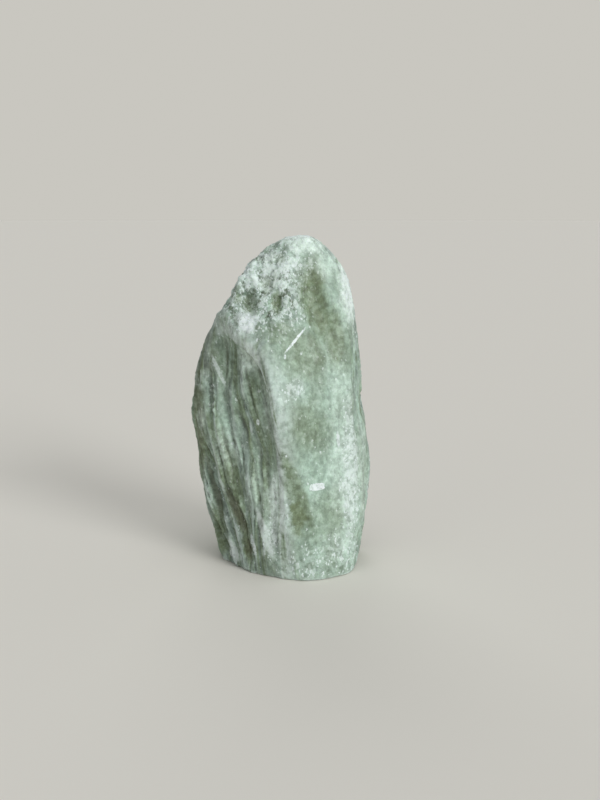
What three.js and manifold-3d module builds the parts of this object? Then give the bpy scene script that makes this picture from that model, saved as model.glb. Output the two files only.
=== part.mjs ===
// A raw, unpolished piece of green soapstone that stands on the flat where it was split off.
// Millimetres, +X to the right, +Y to the back, +Z up. The origin is the middle of the foot.
//
// The stone is one solid. The broken faces that bound it are planes at some reach from the heart
// of the stone, rounded where they meet. A slab and thinner sheets that split away, hollows, pits
// and the ends of the rock's own layers are then taken out of that block. A ball of points is
// thrown outwards from the heart until each point meets the surface.
import * as THREE from "three";
import { mergeVertices } from "three/addons/utils/BufferGeometryUtils.js";
import { ImprovedNoise } from "three/addons/math/ImprovedNoise.js";
import Module from "manifold-3d";

// ---- Driving dimensions: millimetres and degrees ----
const HEART = new THREE.Vector3(0, 0, 66);
const HALF_SIZE = new THREE.Vector3(40, 31, 80);
const BALL_DETAIL = 21;
const FARTHEST = 150;
const HALVINGS = 30;

// Broken faces. azimuth turns the outward normal about Z from +X towards +Y, tilt raises it above
// the horizon, reach is its distance from the heart and round is the softness of its edges. ribs
// and grain say how much the cut layers and the coarse crystals stand out on it.
const FACES = [
  // the front, a smooth cleavage face that leans back as it rises
  { name: "main face", azimuth: -62, tilt: 4, reach: 29, round: 4, ribs: 0.1, grain: 0.15 },
  { name: "main face, upper", azimuth: -66, tilt: 14, reach: 33, round: 6, ribs: 0.1, grain: 0.2 },
  { name: "main face, foot", azimuth: -58, tilt: -14, reach: 51, round: 5, ribs: 0.1, grain: 0.4 },
  { name: "soft ridge", azimuth: -88, tilt: -3, reach: 35.5, round: 7, ribs: 0.4, grain: 0.3 },
  { name: "soft ridge, foot", azimuth: -104, tilt: -6, reach: 33, round: 6, ribs: 0.5, grain: 0.3 },
  { name: "brow", azimuth: -100, tilt: 21, reach: 37, round: 5, ribs: 0.1, grain: 1 },
  { name: "lip", azimuth: -140, tilt: 12, reach: 37, round: 4, ribs: 0, grain: 0.5 },
  // the left flank, broken across the layers
  { name: "flank, foot", azimuth: -122, tilt: -16, reach: 43, round: 6, ribs: 1, grain: 0.2 },
  { name: "flank, corner", azimuth: -153, tilt: -11, reach: 37, round: 6, ribs: 1, grain: 0.2 },
  { name: "left foot", azimuth: -176, tilt: -10, reach: 38.6, round: 3, ribs: 0.5, grain: 0.2 },
  { name: "left side", azimuth: 178, tilt: -8, reach: 40, round: 3, ribs: 0.8, grain: 0.2 },
  { name: "left side, upper", azimuth: -178, tilt: 13, reach: 40.2, round: 2, ribs: 0.7, grain: 0.3 },
  // the coarse, sloping shoulder
  { name: "shoulder", azimuth: -164, tilt: 31, reach: 48.8, round: 4, ribs: 0.3, grain: 1 },
  { name: "shoulder, back", azimuth: 150, tilt: 34, reach: 47, round: 8, ribs: 0.3, grain: 0.7 },
  { name: "crown, left", azimuth: -150, tilt: 57, reach: 66.5, round: 5, ribs: 0.2, grain: 0.8 },
  { name: "crown", azimuth: -60, tilt: 84, reach: 81.8, round: 4, ribs: 0.1, grain: 0.4 },
  { name: "crown, right", azimuth: -20, tilt: 62, reach: 77, round: 5, ribs: 0.1, grain: 0.3 },
  // the right side, a long rounded edge above and a narrow side face below
  { name: "right shoulder", azimuth: 4, tilt: 30, reach: 57.5, round: 8, ribs: 0.3, grain: 0.2 },
  { name: "right side, upper", azimuth: -4, tilt: 8, reach: 39, round: 6, ribs: 0.3, grain: 0.2 },
  { name: "right side", azimuth: -15, tilt: 4, reach: 35.2, round: 2, ribs: 0.6, grain: 0.2 },
  { name: "right side, back", azimuth: 20, tilt: 4, reach: 39.5, round: 5, ribs: 0.6, grain: 0.2 },
  { name: "right foot", azimuth: -4, tilt: -14, reach: 49, round: 6, ribs: 0.3, grain: 0.4 },
  // the back, the other side of the same layers
  { name: "back", azimuth: 114, tilt: 6, reach: 26, round: 6, ribs: 0.2, grain: 0.2 },
  { name: "back, upper", azimuth: 96, tilt: 24, reach: 34, round: 8, ribs: 0.2, grain: 0.4 },
  { name: "back, left", azimuth: 150, tilt: -2, reach: 36, round: 6, ribs: 0.7, grain: 0.3 },
  { name: "back, right", azimuth: 62, tilt: 2, reach: 30, round: 6, ribs: 0.4, grain: 0.3 },
];

// The slab that split away from the flank left a face across the layers, with a groove under a lip
// that arches over from the left side and then runs down the front. The ribs start away from it,
// and the lip's edge is soft at the stone's foot.
const SLAB = { azimuth: -125, tilt: -1.4, reach: 25, round: 3, grain: 0.15 };
const LIP = { middle: -12, across: 27, foot: 66, rise: 37, slant: 1.2, calm: 12 };
const LIP_EDGE = { round: 4, roundAtFoot: 10 };
const GROOVE = { depth: 3.2, width: 4.5 };

// Thinner sheets that split away along a face. What lay beyond both planes is gone.
const SHEETS = [
  {
    name: "front, below a slanting edge",
    face: { azimuth: -62, tilt: 4, reach: 28.4 },
    edge: { azimuth: -152, tilt: -35, reach: 11.5 },
    round: 3,
  },
  {
    name: "back, towards the foot",
    face: { azimuth: 114, tilt: 6, reach: 24.4 },
    edge: { azimuth: 40, tilt: -40, reach: 12 },
    round: 2.5,
  },
  {
    name: "back, high on the left",
    face: { azimuth: 120, tilt: 13, reach: 25 },
    edge: { azimuth: 190, tilt: 30, reach: 26 },
    round: 2.5,
  },
];
const SHEET_EDGE = { wander: 2.4, wave: 12 };

// Hollows: at is a point by the middle of the hollow, which is slid on to the surface, and faces
// along azimuth and tilt. size is its width, length and depth, and lean turns its length clockwise
// from upright.
const HOLLOWS = [
  { name: "flute", at: [13.8, -15, 117], azimuth: -66, tilt: 12, size: [12, 46, 2.9], lean: -20 },
  { name: "under the arch", at: [-22, -14, 95], azimuth: -130, tilt: 0, size: [15, 30, 3.4], lean: -20 },
  { name: "dimple", at: [8, -28.7, 31], azimuth: -74, tilt: 0, size: [9, 22, 1.3], lean: -24 },
  { name: "pit, left", at: [-13.4, -16.5, 118], azimuth: -100, tilt: 22, size: [9, 12, 2.2], lean: 10 },
  { name: "pit, middle", at: [-1.5, -19, 119], azimuth: -100, tilt: 22, size: [7, 11, 1.5], lean: 0 },
  { name: "pit, upper", at: [-4.5, -15.5, 125], azimuth: -104, tilt: 24, size: [7, 10, 1.4], lean: -15 },
  { name: "notch, upper", at: [-24, -5, 119], azimuth: -160, tilt: 34, size: [16, 6, 1.9], lean: 0 },
  { name: "notch, lower", at: [-31, -3, 108], azimuth: -165, tilt: 28, size: [16, 5, 0.9], lean: 0 },
  { name: "back hollow", at: [-8, 27, 60], azimuth: 114, tilt: 6, size: [20, 44, 2.4], lean: 16 },
];
const HOLLOW_ROUND = 2;
// an ellipsoid is this many times as wide as the hollow that it cuts
const HOLLOW_SPREAD = 1.25;

// The rock's own layers, seen as ribs where a face cuts across them.
const LAYERS = { azimuth: -62, tilt: 6 };
const RIBS = { depth: 3.2, width: 3.4, length: 36, shift: 4.8, wander: 3, wave: 46 };
// Below height the ribs lean further and further over, to the slope of lean at the foot. Along X
// that starts at right and is whole from left on.
const FAN = { height: 60, lean: 0.32, right: -4, left: -26 };
const FINE_RIBS = { share: 0.45, width: 1.9, length: 22 };
const GRAIN = { depth: 1.5, size: 4.8 };
const SWELL = { depth: 1.4, size: 24, shift: 7.3 };
// how far from an edge the ribs and grain of the two faces mix
const FACE_BLEND = 1.5;

const GROUND = { side: 300, depth: 100 };

function normalOf({ azimuth, tilt }) {
  const a = THREE.MathUtils.degToRad(azimuth);
  const t = THREE.MathUtils.degToRad(tilt);
  return new THREE.Vector3(Math.cos(t) * Math.cos(a), Math.cos(t) * Math.sin(a), Math.sin(t));
}

// How far a point, measured from the heart, lies beyond a plane.
const beyond = (fromHeart, plane) => fromHeart.dot(plane.normal) - plane.reach;

for (const plane of [...FACES, SLAB, LAYERS]) plane.normal = normalOf(plane);
for (const { face, edge } of SHEETS) {
  face.normal = normalOf(face);
  edge.normal = normalOf(edge);
}
const SLAB_ACROSS = new THREE.Vector3(-SLAB.normal.y, SLAB.normal.x, 0).normalize();
const ALONG_RIBS = new THREE.Vector3().crossVectors(LAYERS.normal, SLAB.normal).normalize();
const BESIDE_RIBS = new THREE.Vector3().crossVectors(ALONG_RIBS, LAYERS.normal);

const noiseTable = new ImprovedNoise();

// Smooth noise from about -1 to 1, with one wave in about two sizes.
const noiseAt = (p, size, shift = 0) =>
  noiseTable.noise(p.x / size + shift, p.y / size + shift, p.z / size + shift);

// The larger of two distances, with a fillet of size k where they are close.
function roundMax(a, b, k) {
  const near = Math.max(k - Math.abs(a - b), 0) / k;
  return Math.max(a, b) + (near * near * k) / 4;
}

const roundMin = (a, b, k) => -roundMax(-a, -b, k);

// How far below the arch of the lip a point lies, seen square on to the slab.
function belowLip(fromHeart) {
  const across = Math.max(fromHeart.dot(SLAB_ACROSS) - LIP.middle, 0);
  const up = Math.max(fromHeart.z + HEART.z - LIP.foot, 0);
  return LIP.across * (1 - Math.hypot(across / LIP.across, up / LIP.rise));
}

// 1 from where the lip starts to arch upwards, falling to 0 at the ground.
const heightShare = (fromHeart) =>
  THREE.MathUtils.clamp((fromHeart.z + HEART.z) / LIP.foot, 0, 1);

// How far inside the lost slab a point lies.
function inSlab(fromHeart) {
  const below = belowLip(fromHeart);
  const depthHere = GROOVE.depth * heightShare(fromHeart);
  const groove = depthHere * Math.exp(-Math.max(below, 0) / GROOVE.width);
  const depth = beyond(fromHeart, SLAB);
  return roundMin(depth + groove, below + LIP.slant * Math.max(depth, 0), SLAB.round);
}

// How far inside a lost sheet a point lies.
function inSheet(fromHeart, { face, edge, round }) {
  const wander = SHEET_EDGE.wander * noiseAt(fromHeart, SHEET_EDGE.wave);
  return roundMin(beyond(fromHeart, face), beyond(fromHeart, edge) + wander, round);
}

// How far inside a hollow a point lies.
function inHollow(point, { middle, radii, axes }) {
  const offset = point.clone().sub(middle);
  const scaled = Math.hypot(...axes.map((axis, i) => offset.dot(axis) / radii[i]));
  return (1 - scaled) * Math.min(...radii);
}

// How far the fan at the foot of the left end has carried the ribs sideways.
function fanShift(fromHeart) {
  const below = Math.max(FAN.height - fromHeart.z - HEART.z, 0);
  const share = THREE.MathUtils.smoothstep(-fromHeart.x, -FAN.right, -FAN.left);
  return (FAN.lean * share * below ** 2) / (2 * FAN.height);
}

// The depth that the ends of the layers have worn to at a point, as a share of the whole depth.
function ribsAt(fromHeart) {
  const wander = RIBS.wander * noiseAt(fromHeart, RIBS.wave);
  const across = fromHeart.dot(LAYERS.normal) + wander + RIBS.shift - fanShift(fromHeart);
  const along = fromHeart.dot(ALONG_RIBS);
  const beside = fromHeart.dot(BESIDE_RIBS);
  const coarse = noiseTable.noise(across / RIBS.width, along / RIBS.length, beside / RIBS.length);
  const fine = noiseTable.noise(
    across / FINE_RIBS.width,
    along / FINE_RIBS.length,
    beside / FINE_RIBS.length,
  );
  return coarse + FINE_RIBS.share * fine;
}

// How far a point lies outside the broken faces, negative inside.
function outsideFaces(point) {
  const p = point.clone().sub(HEART);
  const lipRound = THREE.MathUtils.lerp(LIP_EDGE.roundAtFoot, LIP_EDGE.round, heightShare(p));
  let d = -Infinity;
  for (const face of FACES) d = roundMax(d, beyond(p, face), face.round);
  d = roundMax(d, inSlab(p), lipRound);
  for (const sheet of SHEETS) d = roundMax(d, inSheet(p, sheet), sheet.round);
  return d;
}

// How far a point lies outside the stone, negative inside.
function outside(point) {
  const p = point.clone().sub(HEART);
  let d = outsideFaces(point);
  for (const hollow of HOLLOWS) d = roundMax(d, inHollow(point, hollow), HOLLOW_ROUND);

  const slabRibs = 1 - Math.exp(-Math.max(belowLip(p), 0) / LIP.calm);
  const finishes = [
    ...FACES.map((face) => ({ distance: beyond(p, face), ribs: face.ribs, grain: face.grain })),
    { distance: inSlab(p), ribs: slabRibs, grain: SLAB.grain },
  ];
  let weights = 0;
  let ribs = 0;
  let grain = 0;
  for (const finish of finishes) {
    const weight = Math.exp((finish.distance - d) / FACE_BLEND);
    weights += weight;
    ribs += weight * finish.ribs;
    grain += weight * finish.grain;
  }
  d += (ribs / weights) * RIBS.depth * ribsAt(p);
  d += (grain / weights) * GRAIN.depth * noiseAt(p, GRAIN.size);
  return d + SWELL.depth * noiseAt(p, SWELL.size, SWELL.shift);
}

// The point where a ray from the heart leaves the shape that a distance function describes.
function surfacePoint(direction, distance) {
  let near = 0;
  let far = FARTHEST;
  for (let i = 0; i < HALVINGS; i++) {
    const middle = (near + far) / 2;
    const inside = distance(HEART.clone().addScaledVector(direction, middle)) < 0;
    if (inside) near = middle;
    else far = middle;
  }
  return HEART.clone().addScaledVector(direction, near);
}

// Gives a hollow the ellipsoid that cuts its width, length and depth out of a flat face.
function layHollow(hollow) {
  const out = normalOf(hollow);
  const side = new THREE.Vector3(-out.y, out.x, 0).normalize();
  const up = new THREE.Vector3().crossVectors(out, side);
  const lean = THREE.MathUtils.degToRad(hollow.lean);
  const [width, length, depth] = hollow.size;
  // the face passes at this share of the ellipsoid's radius from its middle
  const rise = Math.sqrt(1 - 1 / HOLLOW_SPREAD ** 2);
  const deep = depth / (1 - rise);
  hollow.radii = [(width / 2) * HOLLOW_SPREAD, (length / 2) * HOLLOW_SPREAD, deep];
  hollow.axes = [
    side.clone().multiplyScalar(Math.cos(lean)).addScaledVector(up, -Math.sin(lean)),
    up.clone().multiplyScalar(Math.cos(lean)).addScaledVector(side, Math.sin(lean)),
    out,
  ];
  const direction = new THREE.Vector3(...hollow.at).sub(HEART).normalize();
  hollow.middle = surfacePoint(direction, outsideFaces).addScaledVector(out, rise * deep);
}

for (const hollow of HOLLOWS) layHollow(hollow);

// A closed ball of points, each on its ray where the ray leaves the stone.
function thrownBall() {
  const ball = new THREE.IcosahedronGeometry(1, BALL_DETAIL);
  ball.deleteAttribute("normal");
  ball.deleteAttribute("uv");
  const geometry = mergeVertices(ball);
  const place = geometry.getAttribute("position");
  const v = new THREE.Vector3();
  for (let i = 0; i < place.count; i++) {
    v.fromBufferAttribute(place, i).multiply(HALF_SIZE).normalize();
    v.copy(surfacePoint(v, outside));
    place.setXYZ(i, v.x, v.y, v.z);
  }
  return geometry;
}

const wasm = await Module();
wasm.setup();

function toSolid(geometry) {
  return new wasm.Manifold(
    new wasm.Mesh({
      numProp: 3,
      vertProperties: new Float32Array(geometry.getAttribute("position").array),
      triVerts: new Uint32Array(geometry.index.array),
    }),
  );
}

function toGeometry(solid) {
  const mesh = solid.getMesh();
  const geometry = new THREE.BufferGeometry();
  geometry.setAttribute("position", new THREE.BufferAttribute(mesh.vertProperties, 3));
  geometry.setIndex(new THREE.BufferAttribute(mesh.triVerts, 1));
  geometry.computeVertexNormals();
  return geometry;
}

// Everything below the flat that the stone stands on.
function groundBox() {
  const { side, depth } = GROUND;
  const box = new THREE.BoxGeometry(side, side, depth).translate(0, 0, -depth / 2);
  box.deleteAttribute("normal");
  box.deleteAttribute("uv");
  return mergeVertices(box);
}

// The stone, cut off flat at its foot and moved so that its middle stands on the origin.
function stoneGeometry() {
  const solid = toSolid(thrownBall()).subtract(toSolid(groundBox()));
  const geometry = toGeometry(solid);
  geometry.computeBoundingBox();
  const middle = geometry.boundingBox.getCenter(new THREE.Vector3());
  return geometry.translate(-middle.x, -middle.y, 0);
}

const stone = new THREE.Mesh(
  stoneGeometry(),
  new THREE.MeshStandardMaterial({ color: 0xa9bfa8, roughness: 0.55, metalness: 0 }),
);
stone.name = "soapstone";
const part = new THREE.Group();
part.add(stone);
export default part;
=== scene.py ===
import math

import bmesh
import bpy
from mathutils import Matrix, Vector


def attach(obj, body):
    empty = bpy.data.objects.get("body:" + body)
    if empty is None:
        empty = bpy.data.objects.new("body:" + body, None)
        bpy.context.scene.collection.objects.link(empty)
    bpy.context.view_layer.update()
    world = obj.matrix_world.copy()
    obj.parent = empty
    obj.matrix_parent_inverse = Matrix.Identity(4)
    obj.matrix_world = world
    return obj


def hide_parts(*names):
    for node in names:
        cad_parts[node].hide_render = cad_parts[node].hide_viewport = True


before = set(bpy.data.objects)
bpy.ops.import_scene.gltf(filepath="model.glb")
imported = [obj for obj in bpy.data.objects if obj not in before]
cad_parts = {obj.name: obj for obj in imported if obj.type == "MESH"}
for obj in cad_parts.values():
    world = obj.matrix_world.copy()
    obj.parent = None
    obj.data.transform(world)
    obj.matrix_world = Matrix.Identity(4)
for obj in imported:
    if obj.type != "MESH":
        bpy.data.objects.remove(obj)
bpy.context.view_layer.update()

# A raw, unpolished piece of green soapstone. Lengths below are millimetres unless they say
# otherwise, and Blender's own are metres. +Z is up, and the smooth main face looks front right.
MM = 0.001


def facing(azimuth, tilt):
    """The direction at azimuth degrees about Z from +X towards +Y, raised tilt degrees."""
    a, t = math.radians(azimuth), math.radians(tilt)
    return Vector((math.cos(t) * math.cos(a), math.cos(t) * math.sin(a), math.sin(t)))


# ---- The rock's own layers ----
# They lie along the main face. The ribbed flank is broken across them, so their ends show there
# as ribs, which fan out towards the foot of the left end.
FLANK_AZIMUTH = -125
LAYERS = facing(-62, 6)
ALONG = LAYERS.cross(facing(FLANK_AZIMUTH, -2.5)).normalized()
BESIDE = ALONG.cross(LAYERS)
# They bend either way by about reach, over lengths of about size.
WANDER = {"size": 46, "reach": 3.0, "detail": 0.0}
# Below height they lean more and more, up to the slope lean at the foot. The fan starts at the
# first x of left and is whole from the second.
FAN = {"height": 60, "lean": 0.32, "left": (-4, -26)}

# ---- Where the surface is coarse, and where the rock is tinted or bruised ----
# Each region is a middle, three radii and a strength, where 1 is full and more is full sooner.
COARSE_REGIONS = [
    ((-9, -12, 124), (24, 30, 22), 1.0),
    ((20, -27, 6), (26, 16, 13), 0.4),
]
OLIVE_REGIONS = [
    ((13, -15, 124), (5, 12, 12), 1.0),       # the flute
    # under the arch: olive stone, and painted shade under the lip
    ((-21, -13, 94), (8, 12, 14), 0.4),       # under the arch
    ((-8, -22, 46), (4, 8, 18), 0.3),         # the flank
    ((11, -28, 68), (8, 10, 10), 0.6),        # the main face
    ((20, -25, 28), (8, 10, 12), 0.5),
    ((1, -24, 106), (7, 10, 5), 0.6),
    ((25, -14, 100), (8, 10, 14), 0.6),
    ((10, -24, 98), (13, 10, 12), 0.7),
    ((8, -29, 29.5), (4, 9, 8), 1.2),
    ((17, -27, 22), (5, 9, 6), 0.4),
    ((-37, 2, 60), (7, 22, 40), 0.7),         # the far left side
    ((-36, -6, 62), (4, 7, 34), 0.9),
    ((-28, -6, 14), (5, 9, 17), 1.0),
    ((-10, -22, 32), (4, 9, 13), 0.25),       # the flank again
    ((-22, 17, 70), (9, 12, 18), 0.7),        # the back
]
# Painted shade on the left edge, which turns away from the light.
SHADED_EDGE_REGIONS = [
    ((-36.5, -6, 68), (4, 7, 34), 0.4),
    ((-31, -9, 97), (5, 7, 12), 0.4),
]
# Where the crystals are crushed white, and on the crown and the long right edge also painted
# highlight.
FROST_REGIONS = [
    ((-13.6, -20, 110.5), (5, 7, 5), 2.0),    # the white patch beside the arch
    ((5.5, -28, 84), (6, 7, 5), 0.7),         # the main face
    ((-3, -14, 131), (14, 20, 10), 0.8),      # the shoulder
    ((-22, -14, 112), (9, 16, 9), 0.4),
    ((2, -18, 115), (8, 12, 4), 0.5),
    ((-20.5, -10, 6), (4, 7, 4), 0.9),        # the foot
    ((29, -19, 9), (9, 9, 11), 0.3),
    ((14, -26, 6), (14, 9, 7), 0.25),
    # the next four: crushed white, and painted highlight on the lit rim
    ((4, -3, 147), (12, 12, 4), 1.0),         # the crown and the long right edge
    ((29, -5, 128), (4, 11, 18), 1.1),
    ((34, -6, 110), (4, 12, 16), 0.4),
    ((30, -19, 46), (4, 6, 36), 0.8),
    ((-0.5, -27, 33), (5, 9, 15), 0.55),      # the soft ridge at the foot
    ((-5, -24, 18), (4, 9, 10), 0.6),
    ((6, 30, 36), (10, 8, 14), 0.5),          # the back
    ((20, 22, 78), (5, 9, 20), 0.5),
]
# Where the rock is pale all through, and on the long right edge also painted highlight.
PALE_REGIONS = [
    ((19.5, -8, 134), (6.5, 10, 8), 0.45),    # beside the flute
    # pale stone, and painted highlight on the lit rim
    ((29, -3, 126), (5.5, 15, 21), 1.3),      # the long right edge
    ((12, -10, 144), (12, 10, 6), 0.9),       # the crown
    ((26, -20, 74), (6, 9, 22), 0.3),         # the right of the main face
    ((27, -21, 44), (7, 9, 30), 0.35),
    ((24, -22, 16), (10, 9, 9), 0.3),
    ((-12.5, -20, 96), (5, 9, 8), 0.9),       # the soft slope inside the arch
    ((-2, -27, 33), (5, 9, 15), 0.5),         # the soft ridge at the foot
    ((-24, -12, 55), (8, 9, 10), 0.45),       # patches on the flank
    ((-10, -22, 38), (5, 9, 12), 0.35),
    ((-35, -8, 84), (3, 3, 5), 0.6),
    ((-35, -8, 67), (3, 3, 6), 0.8),
    ((37, -12, 46), (4, 12, 30), 0.45),       # the right side
    ((-4, -27, 76), (4, 6, 13), 0.5),         # the ridge between flank and main face
    ((-3, -14, 131), (14, 20, 9), 0.4),       # the shoulder
    ((-6, 21, 100), (12, 9, 16), 0.45),       # the back
]
# Where the front is smooth, with few white flecks.
SMOOTH_REGIONS = [
    ((22, -12, 118), (9, 12, 22), 1.0),
    ((12, -24, 98), (12, 10, 10), 0.6),
]
# A region's noisy outline strays by up to half of reach, and it sets in between these two shares
# of its radii.
REGION_STRAY = {"size": 6, "reach": 9.0, "detail": 4, "roughness": 0.65}
REGION_EDGE = (1.3, 0.5)

# Marks on the front: middle in x and z, width, length, turn in degrees clockwise from upright,
# and a strength from 0 to 1. These are chips and scratches, bruised white, and one painted
# highlight.
BRUISES_AND_LIT_RIB = [
    (6.4, 103.5, 1.1, 12.5, 41, 1.0),         # a scratch
    (-13.6, 110.4, 7.0, 7.8, 0, 0.95),        # the white patch beside the arch
    (2.2, 97.0, 1.0, 1.5, 0, 0.9),
    (8.8, 97.8, 0.8, 1.0, 0, 0.7),
    (24.6, 60.6, 1.5, 7.0, -6, 0.8),
    (-11.9, 13.4, 1.8, 9.0, -12, 0.9),
    # a painted highlight on the edge of a rib that catches the light
    (-26.6, 89.0, 1.8, 14.0, -25, 0.5),
    (-5.2, 83.0, 0.9, 1.2, 0, 0.8),
    (-8.7, 82.2, 1.2, 1.6, 0, 0.6),
    (-9.2, 69.2, 1.3, 2.6, -5, 0.8),
    (-12.3, 66.0, 1.0, 5.5, -8, 0.45),
    (-5.4, 67.2, 0.9, 1.5, 0, 0.6),
    (2.6, 56.0, 0.9, 1.3, 0, 0.8),
    (-6.6, 20.0, 3.6, 22.0, -19, 0.6),        # pale ribs at the foot of the flank
    (-21.3, 8.0, 3.6, 11.0, -20, 0.7),
    (-27.6, 45.0, 1.4, 26.0, -13, 0.3),
]
# A square-cornered flake.
FLAKE = [(15.6, 41.4, 2.9, 6.0, 88, 1.0)]
# Olive bands that cross the front.
STAINS = [
    (7.0, 41.0, 6.5, 40, -21, 0.8),
    (4.9, 42.0, 9.0, 15, -18, 0.75),
    (14.5, 118.0, 12.0, 34, -17, 1.0),
    (22.5, 104.0, 11.0, 28, -10, 0.9),
    (-10.2, 88.0, 5.0, 28, -34, 0.55),
    (-2.6, 62.0, 2.6, 34, -3, 0.4),
    (-18.6, 26.0, 5.6, 30, -23, 0.8),
    (-14.6, 11.0, 4.6, 16, -8, 1.0),
    (-12.6, 117.6, 6.6, 10.4, 4, 0.75),       # from here on, pits in the shoulder
    (-1.3, 118.4, 4.6, 10.0, 0, 1.0),
    (-5.6, 125.6, 4.6, 7.0, -10, 0.9),
    (0.5, 136.5, 4.0, 4.6, 0, 0.7),
    (-17.5, 120.0, 4.0, 4.6, 0, 0.7),
]
# Clefts between the ribs of the flank, and pits. They are given as the marks are, but with a
# depth in place of the strength.
CLEFTS = [
    (-29.9, 35.6, 3.4, 36, -14, 1.5),
    (-19.3, 27.0, 5.2, 28, -23, 1.8),
    (-14.8, 11.5, 4.0, 14, -8, 1.5),
    (-5.5, 50.0, 2.6, 22, -4, 0.9),
    (-30.0, 78.0, 2.6, 20, -2, 1.0),
    (-14.7, 65.5, 2.6, 20, -25, 0.9),
    (-10.5, 44.0, 2.4, 26, -9, 0.8),
    (-23.5, 56.0, 3.0, 26, -13, 1.1),
    (-12.6, 117.6, 6.4, 10.0, 4, 1.3),        # from here on, pits in the shoulder
    (-1.3, 118.4, 5.0, 10.0, 0, 1.1),
    (-5.6, 125.6, 4.8, 7.4, -10, 0.9),
]
# Marks set in between these two values of y, so that none is on the back.
MARKS_FRONT = (-3, -9)
# The squared distance from a mark's middle is 1 at its outline, and the mark has faded out here.
MARK_EDGE = 1.5

# The slab that split away from the flank left a lip. It is level from the left side to the middle,
# turns down through a quarter of an ellipse that is across wide and rise high, and runs straight
# down from the height foot. It sets in between the two distances of front, outwards from the axis.
LIP = {"middle": -11.5, "across": 27, "foot": 66, "rise": 37, "front": (8, 16)}
LIP_WANDER = {"size": 7, "reach": 1.5, "detail": 2.0}


class Web:
    """Adds nodes to one tree. A socket is fed with a number, a tuple or another node's output."""

    def __init__(self, tree):
        self.tree = tree

    def node(self, kind, sockets=None, **settings):
        """A new node of a kind, with its sockets fed and its settings set."""
        made = self.tree.nodes.new(kind)
        for name, value in settings.items():
            setattr(made, name, value)
        for name, value in (sockets or {}).items():
            if isinstance(value, bpy.types.NodeSocket):
                self.tree.links.new(value, made.inputs[name])
            else:
                made.inputs[name].default_value = value
        return made

    def math(self, operation, *values):
        sockets = dict(enumerate(values))
        return self.node("ShaderNodeMath", sockets, operation=operation).outputs[0]

    def vector(self, operation, *values):
        made = self.node("ShaderNodeVectorMath", dict(enumerate(values)), operation=operation)
        number = operation in ("DOT_PRODUCT", "LENGTH")
        return made.outputs["Value" if number else "Vector"]

    def scaled(self, vector, factor):
        sockets = {0: vector, "Scale": factor}
        return self.node("ShaderNodeVectorMath", sockets, operation="SCALE").outputs["Vector"]

    def parts(self, vector):
        return self.node("ShaderNodeSeparateXYZ", {0: vector}).outputs[:]

    def joined(self, x, y, z):
        return self.node("ShaderNodeCombineXYZ", {0: x, 1: y, 2: z}).outputs[0]

    def rise(self, value, low, high, lowest=0.0, highest=1.0):
        """From lowest at low to highest at high, with soft ends."""
        sockets = {
            "Value": value, "From Min": low, "From Max": high,
            "To Min": lowest, "To Max": highest,
        }
        made = self.node("ShaderNodeMapRange", sockets, interpolation_type="SMOOTHSTEP")
        return made.outputs["Result"]

    def rest(self, value):
        """What a share leaves of 1."""
        return self.math("SUBTRACT", 1.0, value)

    def total(self, *values):
        result = values[0]
        for value in values[1:]:
            result = self.math("ADD", result, value)
        return result

    def product(self, *values):
        result = values[0]
        for value in values[1:]:
            result = self.math("MULTIPLY", result, value)
        return result

    def largest(self, values):
        result = values[0]
        for value in values[1:]:
            result = self.math("MAXIMUM", result, value)
        return result

    def noise(self, place, size, detail=2.0, roughness=0.5):
        """Soft noise around 0.5 whose blotches are about size across, as a number and a colour."""
        sockets = {"Vector": place, "Scale": 1 / size, "Detail": detail, "Roughness": roughness}
        return self.node("ShaderNodeTexNoise", sockets, noise_dimensions="3D").outputs[:2]

    def color(self, factor, a, b, blend="MIX"):
        """Colour a, with a share of b mixed in or multiplied on."""
        sockets = {0: factor, 6: a, 7: b}
        made = self.node("ShaderNodeMix", sockets, data_type="RGBA", blend_type=blend)
        return made.outputs[2]


def wandering(web, place, size, reach, detail):
    """A number that wanders from about -reach to reach, over lengths of about size."""
    noise = web.noise(place, size, detail)[0]
    return web.product(web.math("SUBTRACT", noise, 0.5), 4 * reach)


def strayed(web, place, size, reach, detail, roughness=0.5):
    """The place, moved along each axis by noise, at most half of reach either way."""
    noise = web.noise(place, size, detail, roughness)[1]
    stray = web.scaled(web.vector("SUBTRACT", noise, (0.5, 0.5, 0.5)), reach)
    return web.vector("ADD", place, stray)


def layer_place(web, place):
    """Distances across the layers, along their fibres and beside them."""
    x, _, z = web.parts(place)
    wander = wandering(web, place, **WANDER)
    below = web.math("MAXIMUM", web.math("SUBTRACT", FAN["height"], z), 0.0)
    fan = web.product(below, below, -FAN["lean"] / (2 * FAN["height"]))
    fan = web.product(fan, web.rise(x, *FAN["left"]))
    across = web.total(web.vector("DOT_PRODUCT", place, LAYERS), wander, fan)
    along = web.vector("DOT_PRODUCT", place, ALONG)
    beside = web.vector("DOT_PRODUCT", place, BESIDE)
    return across, along, beside


def stretched(web, layers, width, length, depth):
    """A place for a pattern of blotches that are width across, length along and depth beside."""
    across, along, beside = layers
    return web.joined(
        web.math("DIVIDE", across, width),
        web.math("DIVIDE", along, length),
        web.math("DIVIDE", beside, depth),
    )


def crystal_facets(web, place, size):
    """Facets about size across, each leaning its own way, from about -0.6 to 0.6 of size."""
    scale = web.math("DIVIDE", 1.0, size)
    cell = web.node("ShaderNodeTexVoronoi", {"Vector": place, "Scale": scale})
    lean = web.vector("SUBTRACT", cell.outputs["Color"], (0.5, 0.5, 0.5))
    offset = web.vector("SUBTRACT", place, cell.outputs["Position"])
    return web.vector("DOT_PRODUCT", lean, offset)


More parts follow.
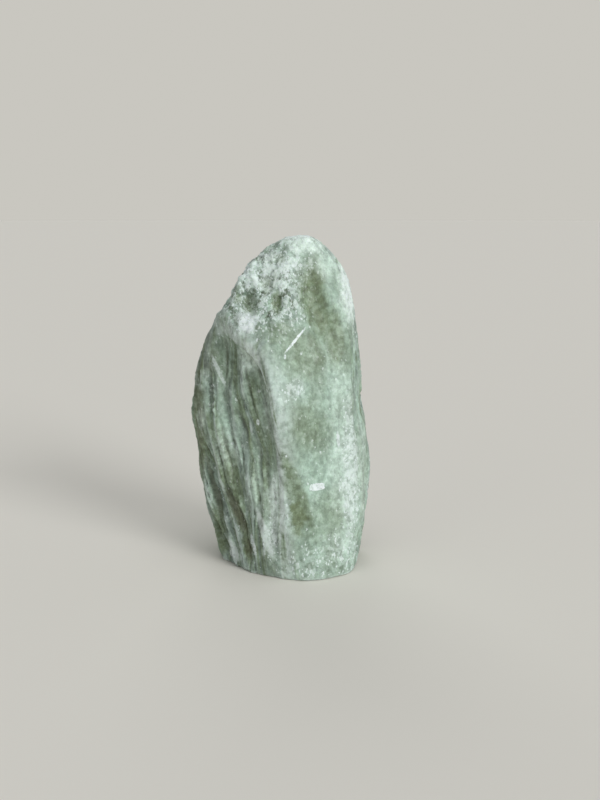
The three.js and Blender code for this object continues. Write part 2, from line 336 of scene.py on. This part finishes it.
def regions(web, place, listed):
    """The strongest of the listed regions at a place, with wandering edges."""
    near = strayed(web, place, **REGION_STRAY)
    strengths = []
    for middle, radii, strength in listed:
        offset = web.vector("DIVIDE", web.vector("SUBTRACT", near, middle), radii)
        reach = web.vector("LENGTH", offset)
        strengths.append(web.product(web.rise(reach, *REGION_EDGE), strength))
    return web.largest(strengths)


def cell_value(web, place, size):
    """A number from 0 to 1 for each small angular crystal about size across."""
    cell = web.node("ShaderNodeTexVoronoi", {"Vector": place, "Scale": 1 / size})
    return web.parts(cell.outputs["Color"])[0]


def marked(web, place, listed, core, wander, squared=1):
    """The strongest of the listed marks on the front at a place, whole inside the core.

    Its outline strays over lengths of about wander. A mark is an oval, or nearly a rectangle
    where it is squared twice or more."""
    x, y, z = web.parts(strayed(web, place, wander, 1.4 * wander, 3))
    found = []
    for middle_x, middle_z, width, length, turn, strength in listed:
        sin, cos = math.sin(math.radians(turn)), math.cos(math.radians(turn))
        right, up = web.math("SUBTRACT", x, middle_x), web.math("SUBTRACT", z, middle_z)
        across = web.math("SUBTRACT", web.product(right, cos), web.product(up, sin))
        along = web.total(web.product(right, sin), web.product(up, cos))
        across, along = web.product(across, 2 / width), web.product(along, 2 / length)
        for _ in range(squared):
            across, along = web.product(across, across), web.product(along, along)
        reach = web.math("ADD", across, along)
        found.append(web.rise(reach, MARK_EDGE, core, 0.0, strength))
    return web.product(web.largest(found), web.rise(y, *MARKS_FRONT))


def below_lip(web, place):
    """How far inside the arch of the lip a place lies, and 1 on the side that has the lip."""
    side, out = facing(FLANK_AZIMUTH + 90, 0), facing(FLANK_AZIMUTH, 0)
    uneven = wandering(web, place, **LIP_WANDER)
    across = web.math("SUBTRACT", web.vector("DOT_PRODUCT", place, side), LIP["middle"])
    up = web.total(web.parts(place)[2], uneven, -LIP["foot"])
    across = web.product(web.math("MAXIMUM", across, 0.0), 1 / LIP["across"])
    up = web.product(web.math("MAXIMUM", up, 0.0), 1 / LIP["rise"])
    reach = web.vector("LENGTH", web.joined(across, up, 0.0))
    below = web.product(web.rest(reach), LIP["across"])
    return below, web.rise(web.vector("DOT_PRODUCT", place, out), *LIP["front"])


# ---- The broken surface ----
# The even mesh's step, and the distance within which two of the solid's points are one.
VOXEL = 0.66
SAME_POINT = 0.001
# Smoothing is a number of steps, Crystal Height and Grain Height are factors, and the others are
# lengths.
RELIEF = {
    "Smoothing": 6,
    "Rib Width": 2.4,
    "Rib Depth": 2.6,
    "Step Depth": 1.2,
    "Splinter Width": 1.0,
    "Splinter Depth": 0.7,
    "Lip Height": 0.4,
    "Groove Depth": 1.0,
    "Crystal Size": 3.4,
    "Crystal Height": 0.36,
    "Grain Size": 1.7,
    "Grain Height": 0.6,
}
RIB_LENGTH = 50.0
STEP_WIDTH = 1.9
STEP_LENGTH = 44.0
SPLINTER_LENGTH = 22.0
# The steps of blur that the broad and the fine relief are measured against.
BROAD_STEPS = 58
FINE_STEPS = 7


def blurred(web, value, steps):
    """A vector, evened out along the surface over a number of steps."""
    sockets = {"Value": value, "Iterations": steps}
    made = web.node("GeometryNodeBlurAttribute", sockets, data_type="FLOAT_VECTOR")
    return made.outputs[0]


def standing_out(web, steps):
    """How far the surface stands out of its own blurred shape, in millimetres."""
    place = web.node("GeometryNodeInputPosition").outputs[0]
    normal = web.node("GeometryNodeInputNormal").outputs[0]
    out = web.vector("SUBTRACT", place, blurred(web, place, steps))
    return web.product(web.vector("DOT_PRODUCT", out, normal), 1 / MM)


def kept(web, geometry, name, value):
    """The geometry, with a value stored under a name for the material."""
    sockets = {"Geometry": geometry, "Name": name, "Value": value}
    made = web.node("GeometryNodeStoreNamedAttribute", sockets, data_type="FLOAT", domain="POINT")
    return made.outputs["Geometry"]


def relief_tree():
    """The node group that turns the even solid into the broken stone."""
    tree = bpy.data.node_groups.new("broken surface", "GeometryNodeTree")
    sockets = tree.interface
    sockets.new_socket("Geometry", in_out="INPUT", socket_type="NodeSocketGeometry")
    sockets.new_socket("Geometry", in_out="OUTPUT", socket_type="NodeSocketGeometry")
    for name, value in RELIEF.items():
        kind = "NodeSocketInt" if isinstance(value, int) else "NodeSocketFloat"
        sockets.new_socket(name, in_out="INPUT", socket_type=kind)
    sockets.new_socket("Material", in_out="INPUT", socket_type="NodeSocketMaterial")
    web = Web(tree)
    given = web.node("NodeGroupInput").outputs

    # the facets of the coarse solid are smoothed first
    position = web.node("GeometryNodeInputPosition").outputs[0]
    smoothed = blurred(web, position, given["Smoothing"])
    sockets = {"Geometry": given["Geometry"], "Position": smoothed}
    geometry = web.node("GeometryNodeSetPosition", sockets).outputs[0]

    place = web.scaled(position, 1 / MM)
    normal = web.node("GeometryNodeInputNormal").outputs[0]
    layers = layer_place(web, place)
    # the layers' ends show where the surface cuts across them
    edge_on = web.math("ABSOLUTE", web.vector("DOT_PRODUCT", normal, LAYERS))
    ribbed = web.rise(edge_on, 0.88, 0.55)
    coarse = regions(web, place, COARSE_REGIONS)
    ribbed = web.product(ribbed, web.rest(coarse))
    geometry = kept(web, geometry, "ribbed", ribbed)
    geometry = kept(web, geometry, "coarse", coarse)

    # the lip, with a groove under it, both worn off at the left end and soft lower down
    below, front = below_lip(web, place)
    x, _, z = web.parts(place)
    lip = web.product(web.rise(below, -10.0, -1.5), web.rise(below, 0.6, -0.9), front)
    groove = web.product(web.rise(below, -0.6, 1.2), web.rise(below, 8.0, 1.5), front)
    groove = web.product(groove, web.rise(z, 15, 70, 0.15, 1.0))
    left_end = web.rise(x, -33, -19, 0.1, 1.0)
    geometry = kept(web, geometry, "lip", web.product(lip, left_end))
    geometry = kept(web, geometry, "groove", web.product(groove, left_end))
    sharp = web.product(web.rise(z, 45, 80), left_end)
    lip = web.product(lip, given["Lip Height"], sharp)
    lip = web.math("SUBTRACT", lip, web.product(groove, given["Groove Depth"], sharp))

    # the ends of the layers: soft ribs, and steps and splinters here and there
    rib_place = stretched(web, layers, given["Rib Width"], RIB_LENGTH, RIB_LENGTH)
    ribs = web.math("SUBTRACT", web.noise(rib_place, 1.0, 1.0)[0], 0.5)
    ribs = web.product(ribs, given["Rib Depth"])
    step_place = stretched(web, layers, STEP_WIDTH, STEP_LENGTH, STEP_LENGTH)
    # elsewhere in the noise than the ribs
    step_place = web.vector("ADD", step_place, (9.0, 4.0, 2.0))
    steps = web.rise(web.noise(step_place, 1.0, 1.0)[0], 0.42, 0.5, -1.0, 0.0)
    steps = web.product(steps, given["Step Depth"], web.rise(web.noise(place, 14)[0], 0.35, 0.55))
    splinter_width = given["Splinter Width"]
    splinter_place = stretched(web, layers, splinter_width, SPLINTER_LENGTH, SPLINTER_LENGTH)
    splinters = web.rise(web.noise(splinter_place, 1.0, 2.0)[0], 0.3, 0.55, -1.0, 0.2)
    splinters = web.product(
        splinters, given["Splinter Depth"], web.rise(web.noise(place, 9)[0], 0.4, 0.65)
    )
    # the flank is calm outside the arch and just inside it
    calm = web.product(web.rise(below, 9.0, 1.0), front)
    ribs = web.product(web.total(ribs, steps, splinters), ribbed, web.rest(calm))
    clefts = marked(web, place, CLEFTS, 0.0, 1.6)
    ribs = web.math("SUBTRACT", ribs, clefts)
    geometry = kept(web, geometry, "clefts", clefts)

    # crystals where it is coarse, and a finer grain all over
    crystals = crystal_facets(web, place, given["Crystal Size"])
    crystals = web.product(crystals, given["Crystal Height"], coarse)
    small = crystal_facets(web, place, given["Grain Size"])
    small = web.product(small, given["Grain Height"], web.rise(coarse, 0.0, 1.0, 0.3, 1.0))

    relief = web.total(lip, ribs, crystals, small)
    # the foot stays flat
    relief = web.product(relief, web.rise(z, 0.5, 3.0))
    offset = web.scaled(normal, web.product(relief, MM))
    sockets = {"Geometry": geometry, "Offset": offset}
    geometry = web.node("GeometryNodeSetPosition", sockets).outputs[0]

    geometry = kept(web, geometry, "broad", standing_out(web, BROAD_STEPS))
    geometry = kept(web, geometry, "fine", standing_out(web, FINE_STEPS))
    geometry = web.node("GeometryNodeRealizeInstances", {0: geometry}).outputs[0]
    sockets = {"Geometry": geometry, "Material": given["Material"]}
    geometry = web.node("GeometryNodeSetMaterial", sockets).outputs[0]
    web.node("NodeGroupOutput", {"Geometry": geometry})
    return tree


def settled(piece):
    """Replaces a piece's mesh by what its modifiers make of it."""
    bpy.context.view_layer.update()
    evaluated = piece.evaluated_get(bpy.context.evaluated_depsgraph_get())
    made = bpy.data.meshes.new_from_object(evaluated)
    piece.modifiers.clear()
    piece.data = made
    made.name = piece.name


def stone_piece(material):
    """The solid's own mesh, made even and fine and then broken along its layers and crystals."""
    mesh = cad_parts["soapstone"].data.copy()
    mesh.materials.clear()
    shape = bmesh.new()
    shape.from_mesh(mesh)
    bmesh.ops.remove_doubles(shape, verts=shape.verts, dist=SAME_POINT * MM)
    shape.to_mesh(mesh)
    shape.free()
    piece = bpy.data.objects.new("stone", mesh)
    bpy.context.scene.collection.objects.link(piece)
    even = piece.modifiers.new("even", "REMESH")
    even.mode = "VOXEL"
    even.voxel_size = VOXEL * MM
    even.use_smooth_shade = True
    settled(piece)

    tree = relief_tree()
    relief = piece.modifiers.new("broken surface", "NODES")
    relief.node_group = tree
    values = {**RELIEF, "Material": material}
    for socket in tree.interface.items_tree:
        if socket.name in values:
            relief[socket.identifier] = values[socket.name]
    settled(piece)
    piece.data.polygons.foreach_set("use_smooth", [True] * len(piece.data.polygons))
    return piece


# ---- Colours ----
# Red, green and blue are linear.
MINT = (0.41, 0.565, 0.465, 1)
SAGE = (0.28, 0.385, 0.295, 1)
PALE = (0.73, 0.88, 0.79, 1)
SLATE = (0.26, 0.325, 0.30, 1)
OLIVE = (0.17, 0.225, 0.12, 1)
# a dark brown for painted shade in the hollows, the clefts and on the left edge
SHADE_BROWN = (0.095, 0.095, 0.05, 1)
FROST = (0.86, 0.95, 0.95, 1)

# Patterns in the layers: width across the layers, length along their fibres and depth beside them.
CLOUDS = (9.0, 26.0, 12.0)
BANDS = (3.0, 50.0, 9.0)
STREAKS = (1.0, 20.0, 2.4)
GRAINS = (1.0, 1.7, 1.0)
# Sizes of single grains, which GRAINS stretches, and of crystals and chips.
FINE_GRAIN = 0.6
LARGE_GRAIN = 1.7
CRYSTAL = 3.2
CHIP = 1.5


def stone_material():
    """Layered green rock, with painted shade in its hollows, white frost where it is crushed or
    worn, and painted highlights.
    """
    material = bpy.data.materials.new("raw soapstone")
    material.use_nodes = True
    tree = material.node_tree
    tree.nodes.clear()
    web = Web(tree)
    coordinates = web.node("ShaderNodeTexCoord").outputs["Object"]
    place = web.scaled(coordinates, 1 / MM)
    layers = layer_place(web, place)

    # what the broken surface has kept
    names = ("ribbed", "coarse", "broad", "fine", "lip", "groove", "clefts")
    ribbed, coarse, broad, fine, lip, groove, clefts = (
        web.node("ShaderNodeAttribute", attribute_name=name).outputs["Fac"] for name in names
    )

    clouds = web.noise(stretched(web, layers, *CLOUDS), 1.0, 4, 0.6)[0]
    bands = web.noise(stretched(web, layers, *BANDS), 1.0, 2, 0.5)[0]
    streaks = web.noise(stretched(web, layers, *STREAKS), 1.0, 3, 0.6)[0]
    mottle = web.noise(place, 2.6, 5, 0.62)[0]
    # grains and crystals have bent outlines
    bent = web.vector("ADD", place, web.scaled(web.noise(place, 1.2, 2)[1], 1.2))
    bent_layers = stretched(web, layer_place(web, bent), *GRAINS)
    fine_cells = cell_value(web, bent_layers, FINE_GRAIN)
    large_cells = cell_value(web, bent_layers, LARGE_GRAIN)
    crooked = web.vector("ADD", place, web.scaled(web.noise(place, 2.0, 1)[1], 1.0))
    crystals = cell_value(web, crooked, CRYSTAL)
    chips = cell_value(web, web.vector("ADD", crooked, (5.0, 3.0, 1.0)), CHIP)
    broken = web.total(web.product(crystals, 0.5), web.product(chips, 0.5))

    # the body of the rock: mint, with sage and slate in its layers
    color = web.color(web.rise(clouds, 0.36, 0.62), SAGE, MINT)
    slate = web.largest([web.product(coarse, 0.35), web.product(ribbed, 0.65)])
    color = web.color(web.product(slate, web.rise(bands, 0.4, 0.58)), color, SLATE)
    pale = web.product(regions(web, place, PALE_REGIONS), web.rise(mottle, 0.3, 0.6, 0.75, 1.0))
    color = web.color(pale, color, PALE)
    # olive as painted shade in the groove, in its own regions and bands, and where the patterns are
    # low
    olive = web.largest([
        web.product(groove, 0.4),
        regions(web, place, OLIVE_REGIONS),
        marked(web, place, STAINS, 0.25, 1.8),
        web.rise(clouds, 0.42, 0.26, 0.0, 0.7),
        web.product(web.rise(bands, 0.54, 0.38), ribbed, 0.9),
        web.product(web.rise(broken, 0.36, 0.26), coarse, 0.7),
    ])
    olive = web.product(olive, web.rest(pale))
    olive = web.product(olive, web.rise(mottle, 0.3, 0.62, 1.0, 0.7))
    color = web.color(olive, color, OLIVE)
    # painted shade, dark brown, in the hollows and clefts and on the left edge that turns from the
    # light
    painted_shade = web.largest([web.rise(broad, -0.3, -1.8), web.rise(fine, -0.08, -0.5, 0.0, 0.6)])
    painted_shade = web.product(painted_shade, web.rise(ribbed, 0.0, 1.0, 0.15, 0.8))
    cleft_shade = web.product(web.rise(clefts, 0.2, 1.7, 0.0, 0.65), web.rise(coarse, 0.4, 0.0))
    painted_shade = web.largest([painted_shade, cleft_shade, regions(web, place, SHADED_EDGE_REGIONS)])
    color = web.color(painted_shade, color, SHADE_BROWN)
    # each grain is a little lighter or darker than its neighbours
    streak_depth = web.rise(ribbed, 0.0, 1.0, 0.06, 0.2)
    shade = web.total(
        web.rise(fine_cells, 0.0, 1.0, -0.08, 0.08),
        web.rise(large_cells, 0.0, 1.0, -0.09, 0.09),
        web.rise(mottle, 0.32, 0.68, -0.16, 0.16),
        web.product(web.rise(broken, 0.1, 0.9, -0.27, 0.33), coarse),
        web.product(web.rise(streaks, 0.35, 0.65, -1.0, 1.0), streak_depth),
        1.0,
    )
    color = web.color(1.0, color, shade, "MULTIPLY")

    # frost: crystals that were crushed white, and worn edges that are partly painted highlight
    frosted = regions(web, place, FROST_REGIONS)
    smooth = web.product(frosted, web.rise(mottle, 0.38, 0.62, 0.15, 0.75))
    chipped = web.product(frosted, web.rise(broken, 0.4, 0.8, 0.0, 0.62))
    haze = web.largest([
        web.product(smooth, web.rise(coarse, 0.8, 0.2)),
        web.product(chipped, coarse),
        web.product(lip, web.rise(mottle, 0.35, 0.6, 0.25, 0.55)),
    ])
    # single white grains and painted glints, more of them where it is frosted or coarse
    share = web.total(web.product(frosted, 0.2), web.product(coarse, 0.2), 0.025)
    fleck_limit = web.rest(share)
    flecks_and_glints = web.largest([
        web.rise(web.math("SUBTRACT", fine_cells, fleck_limit), -0.005, 0.03, 0.0, 0.7),
        web.rise(web.math("SUBTRACT", large_cells, fleck_limit), 0.0, 0.12, 0.0, 0.5),
    ])
    veil = web.rise(mottle, 0.5, 0.72, 0.0, 0.22)
    # wear and painted highlight on the ridges, where the surface stands out
    worn_and_highlit = web.product(web.rise(broad, 0.2, 1.6, 0.0, 0.6), web.rise(mottle, 0.3, 0.6, 0.3, 1.0))
    unflecked = web.product(regions(web, place, SMOOTH_REGIONS), 0.8)
    plain = web.largest([web.product(olive, 0.9), painted_shade, unflecked])
    frost = web.product(web.largest([flecks_and_glints, veil]), web.rest(plain))
    # worn edges with painted highlight, and crushed crystals, but little white on what is olive or
    # in painted shade
    crushed = web.product(web.rise(broken, 0.68, 0.76, 0.0, 0.5), coarse)
    haze = web.largest([haze, worn_and_highlit, crushed])
    clear = web.largest([web.rise(olive, 0.15, 0.75), painted_shade])
    haze = web.product(haze, web.rest(clear))
    frost = web.largest([frost, haze])
    # the marks, a little beaded
    beads = web.rise(web.noise(place, 1.3, 2)[0], 0.36, 0.5, 0.6, 1.0)
    bruises_and_lit_rib = web.product(marked(web, place, BRUISES_AND_LIT_RIB, 0.5, 0.8), beads)
    flake = web.product(marked(web, place, FLAKE, 0.9, 0.8, 2), beads)
    frost = web.largest([frost, bruises_and_lit_rib, flake])
    color = web.color(frost, color, FROST)

    # relief too fine for the mesh, and a waxy sheen that comes and goes
    grain = web.noise(place, 0.45, 3, 0.7)[0]
    height = web.total(
        web.product(streaks, 0.4),
        web.product(crystal_facets(web, bent, 1.1), 0.35),
        web.product(grain, 0.25),
    )
    bump = web.node("ShaderNodeBump", {"Strength": 0.7, "Distance": 0.5 * MM, "Height": height})
    rough = web.rise(web.noise(place, 4.0, 3, 0.6)[0], 0.3, 0.7, 0.36, 0.6)
    shader = web.node("ShaderNodeBsdfPrincipled", {
        "Base Color": color,
        "Roughness": rough,
        "Normal": bump.outputs[0],
        "Subsurface Weight": 0.2,
        "Subsurface Radius": (0.9, 1.0, 0.8),
        "Subsurface Scale": 2.2 * MM,
        "IOR": 1.54,
    })
    web.node("ShaderNodeOutputMaterial", {"Surface": shader.outputs[0]})
    return material


stone = stone_piece(stone_material())
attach(stone, "root")
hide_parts("soapstone")


# ---- Floor, lights and camera ----
FLOOR = (0.80, 0.78, 0.72, 1)
FLOOR_RADIUS = 12.0     # metres
FLOOR_SIDES = 96
ROOM_LIGHT = (0.26, 0.264, 0.268, 1)
WALL = (0.583, 0.570, 0.526, 1)
# A light's name, the azimuth and tilt of where it comes from and its spread in degrees, its
# strength and its colour.
LIGHTS = [
    ("window", -46.3, 19.9, 26, 1.6, (1.0, 1.0, 1.0)),
    ("ceiling", -71, 75, 40, 0.68, (1.0, 1.0, 1.0)),
    ("room", -132, 17, 33, 0.12, (1.0, 0.96, 0.9)),
    ("behind", 100, 30, 40, 0.5, (1.0, 1.0, 1.0)),
]


def floor_material():
    """A matt, pale ground."""
    material = bpy.data.materials.new("pale floor")
    material.use_nodes = True
    shader = material.node_tree.nodes["Principled BSDF"]
    shader.inputs["Base Color"].default_value = FLOOR
    shader.inputs["Roughness"].default_value = 1.0
    shader.inputs["Specular IOR Level"].default_value = 0.0
    return material


def studio_floor():
    """A wide round floor under the stone."""
    verts = [(0.0, 0.0, 0.0)]
    for i in range(FLOOR_SIDES):
        turn = math.radians(360) * i / FLOOR_SIDES
        verts.append((FLOOR_RADIUS * math.cos(turn), FLOOR_RADIUS * math.sin(turn), 0.0))
    faces = [(0, 1 + i, 1 + (i + 1) % FLOOR_SIDES) for i in range(FLOOR_SIDES)]
    mesh = bpy.data.meshes.new("studio_floor")
    mesh.from_pydata(verts, [], faces)
    mesh.materials.append(floor_material())
    floor = bpy.data.objects.new("studio_floor", mesh)
    bpy.context.scene.collection.objects.link(floor)


def soft_light(name, source, spread, strength, color):
    """Even light from one direction, spread over some degrees of the sky."""
    light = bpy.data.lights.new(name, "SUN")
    light.angle = math.radians(spread)
    light.energy = strength
    light.color = color
    lamp = bpy.data.objects.new(name, light)
    lamp.rotation_euler = source.to_track_quat("Z", "Y").to_euler()
    bpy.context.scene.collection.objects.link(lamp)


def pale_studio():
    """Soft light from all round. The camera sees it as a pale wall of the floor's brightness."""
    world = bpy.data.worlds.new("soft studio")
    world.use_nodes = True
    web = Web(world.node_tree)
    background = world.node_tree.nodes["Background"]
    seen = web.node("ShaderNodeLightPath").outputs["Is Camera Ray"]
    world.node_tree.links.new(web.color(seen, ROOM_LIGHT, WALL), background.inputs["Color"])
    bpy.context.scene.world = world


studio_floor()
for name, azimuth, tilt, spread, strength, color in LIGHTS:
    soft_light(name, facing(azimuth, tilt), spread, strength, color)
pale_studio()
bpy.context.scene.view_settings.view_transform = "Standard"

# The camera stands 0.42 m in front, a little above the stone's top, and looks down 11.4 degrees.
CAMERA_PLACE = (0.008366, -0.416566, 0.157275)     # metres
LOOK_DOWN = 0.1984                                 # radians
SENSOR_WIDTH = 36
FOCAL_LENGTH = 43.07
camera_data = bpy.data.cameras.new("camera")
camera_data.sensor_width = SENSOR_WIDTH
camera_data.lens = FOCAL_LENGTH
camera = bpy.data.objects.new("camera", camera_data)
camera.location = CAMERA_PLACE
camera.rotation_euler = (math.radians(90) - LOOK_DOWN, 0, 0)
bpy.context.scene.collection.objects.link(camera)
bpy.context.scene.camera = camera
